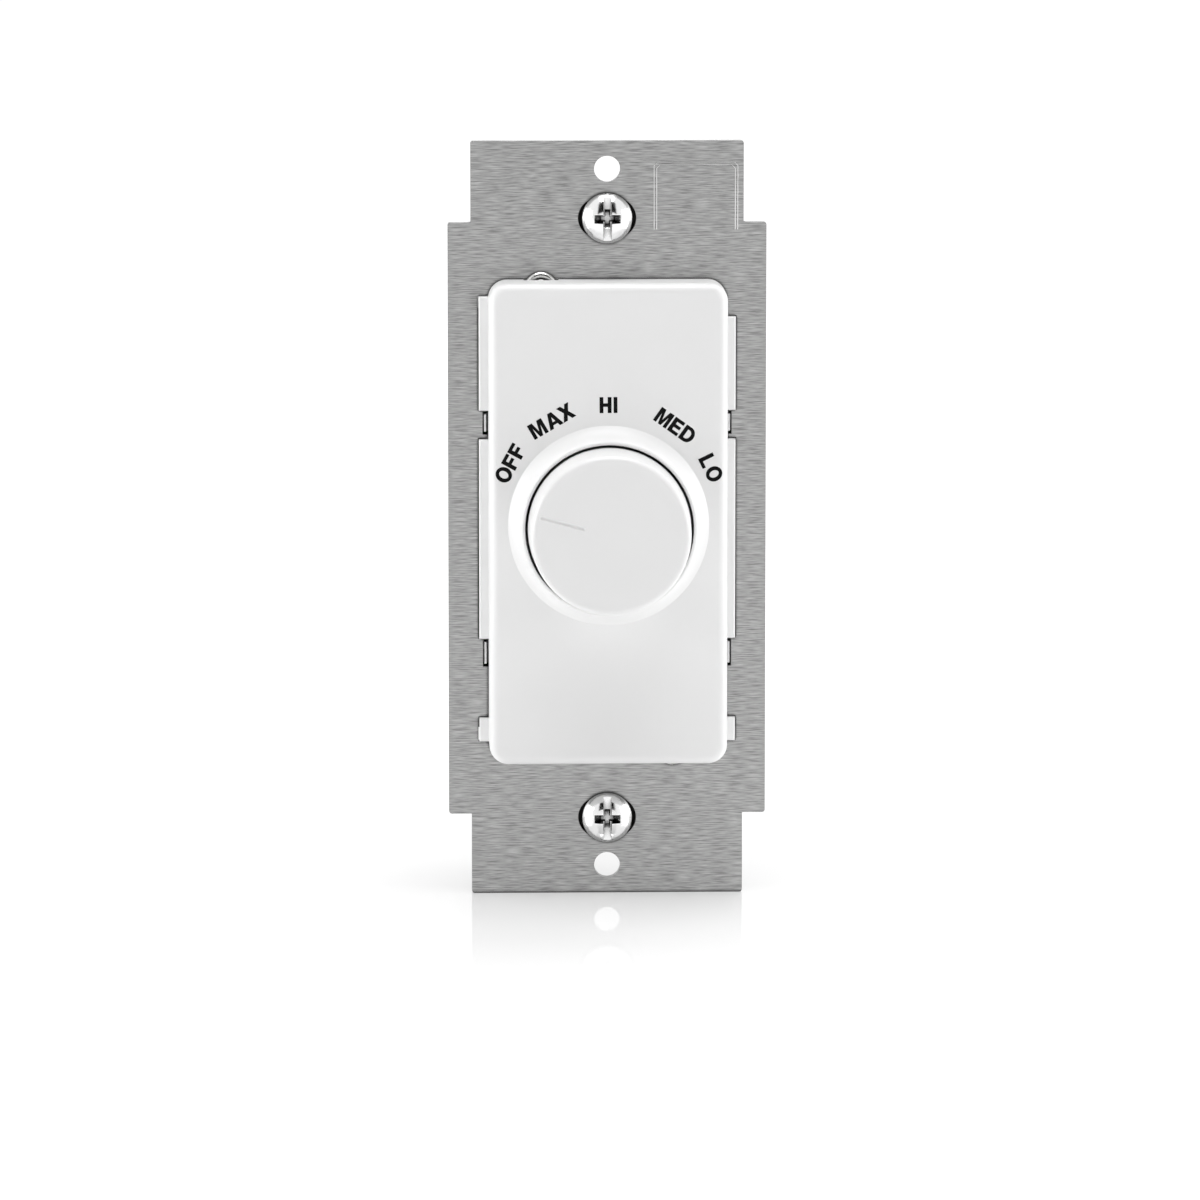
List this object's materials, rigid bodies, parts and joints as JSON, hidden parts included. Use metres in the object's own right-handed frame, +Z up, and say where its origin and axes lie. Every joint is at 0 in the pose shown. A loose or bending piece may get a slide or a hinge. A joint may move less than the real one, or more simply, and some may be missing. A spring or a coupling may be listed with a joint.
{
  "type": "fan speed control switch",
  "caption": "Rotary fan speed control on a brushed metal strap: white face with flared collar and dial words, round knob, side terminals, for a single-gang wall box.",
  "frame": {"origin": "midway between the two box screws, on the back face of the mounting strap", "axes": "+Z up, +X to the right as seen from the room, +Y into the wall"},
  "size_m": [0.0438, 0.0503, 0.1046],
  "materials": {
    "strap_aluminium": "brushed",
    "face_white": "satin",
    "knob_white": "satin",
    "plated_screw": "bright plated",
    "rivet_steel": "plated",
    "spring_steel": "plain",
    "plated_steel": "zinc plated",
    "brass": "satin",
    "brass_screw": "bright",
    "contact_metal": "satin",
    "shaft_metal": "turned",
    "phenolic": "moulded",
    "nylon": "moulded",
    "insulating_paper": "smooth",
    "fibre": "smooth",
    "board_laminate": "laminate",
    "capacitor_case": "smooth",
    "resistor_body": "lacquered",
    "housing_plastic": "fine moulded texture",
    "ground_green": "dipped"
  },
  "bodies": {
    "device_body": {"mounting_strap": "strap_aluminium", "insulating_barrier": "insulating_paper", "face_frame": "face_white", "switch_bushing": "brass", "lock_washer": "spring_steel", "bushing_nut": "brass", "switch_cover": "plated_steel", "switch_base": "phenolic", "detent_spring": "spring_steel", "contact_common": "contact_metal", "contact_max": "contact_metal", "contact_high": "contact_metal", "contact_medium": "contact_metal", "contact_low": "contact_metal", "circuit_board": "board_laminate", "capacitor_large": "capacitor_case", "capacitor_small": "capacitor_case", "bleed_resistor_upper": "resistor_body", "bleed_resistor_lower": "resistor_body", "rear_housing": "housing_plastic", "rivet_upper": "rivet_steel", "rivet_lower": "rivet_steel", "terminal_plate_line": "brass", "terminal_plate_load": "brass", "ground_bracket": "plated_steel", "screw_retainer_upper": "fibre", "screw_retainer_lower": "fibre"},
    "selector": {"knob": "knob_white", "knob_spring_clip": "spring_steel", "selector_shaft": "shaft_metal", "switch_rotor": "nylon", "wiper_contact": "contact_metal"},
    "upper_box_screw": {"mounting_screw_upper": "plated_screw"},
    "lower_box_screw": {"mounting_screw_lower": "plated_screw"},
    "line_clamp": {"clamp_plate_line": "plated_steel"},
    "line_screw": {"terminal_screw_line": "brass_screw"},
    "load_clamp": {"clamp_plate_load": "plated_steel"},
    "load_screw": {"terminal_screw_load": "brass_screw"},
    "ground_clamp_body": {"ground_clamp": "plated_steel"},
    "ground_screw_body": {"ground_screw": "ground_green"}
  },
  "joints": [
    {"name": "knob_turn", "type": "hinge", "parent": "device_body", "child": "selector", "pos_m": [0, 0, 0], "axis": [0, 1, 0], "range_deg": [0, 135], "deforming": ["detent_spring"]},
    {"name": "upper_box_screw_turn", "type": "hinge", "parent": "device_body", "child": "upper_box_screw", "pos_m": [0, 0, 0.04167], "axis": [0, 1, 0], "continuous": true},
    {"name": "lower_box_screw_turn", "type": "hinge", "parent": "device_body", "child": "lower_box_screw", "pos_m": [0, 0, -0.04167], "axis": [0, 1, 0], "continuous": true},
    {"name": "line_clamp_travel", "type": "slide", "parent": "device_body", "child": "line_clamp", "axis": [-1, 0, 0], "range_m": [0, 0.00238]},
    {"name": "line_screw_turn", "type": "hinge", "parent": "line_clamp", "child": "line_screw", "pos_m": [-0.0169, 0.0205, 0], "axis": [-1, 0, 0], "range_deg": [0, 1080]},
    {"name": "load_clamp_travel", "type": "slide", "parent": "device_body", "child": "load_clamp", "axis": [1, 0, 0], "range_m": [0, 0.00238]},
    {"name": "load_screw_turn", "type": "hinge", "parent": "load_clamp", "child": "load_screw", "pos_m": [0.0169, 0.0205, 0], "axis": [1, 0, 0], "range_deg": [0, 1080]},
    {"name": "ground_clamp_travel", "type": "slide", "parent": "device_body", "child": "ground_clamp_body", "axis": [0, 0, -1], "range_m": [0, 0.00238]},
    {"name": "ground_screw_turn", "type": "hinge", "parent": "ground_clamp_body", "child": "ground_screw_body", "pos_m": [0.0091, 0.0114, -0.0365], "axis": [0, 0, -1], "range_deg": [0, 1080]}
  ],
  "couplings": [
    {"joint": "line_screw_turn", "follows": "line_clamp_travel", "rad_per_m": 7916.5},
    {"joint": "load_screw_turn", "follows": "load_clamp_travel", "rad_per_m": 7916.5},
    {"joint": "ground_screw_turn", "follows": "ground_clamp_travel", "rad_per_m": 7916.5}
  ]
}
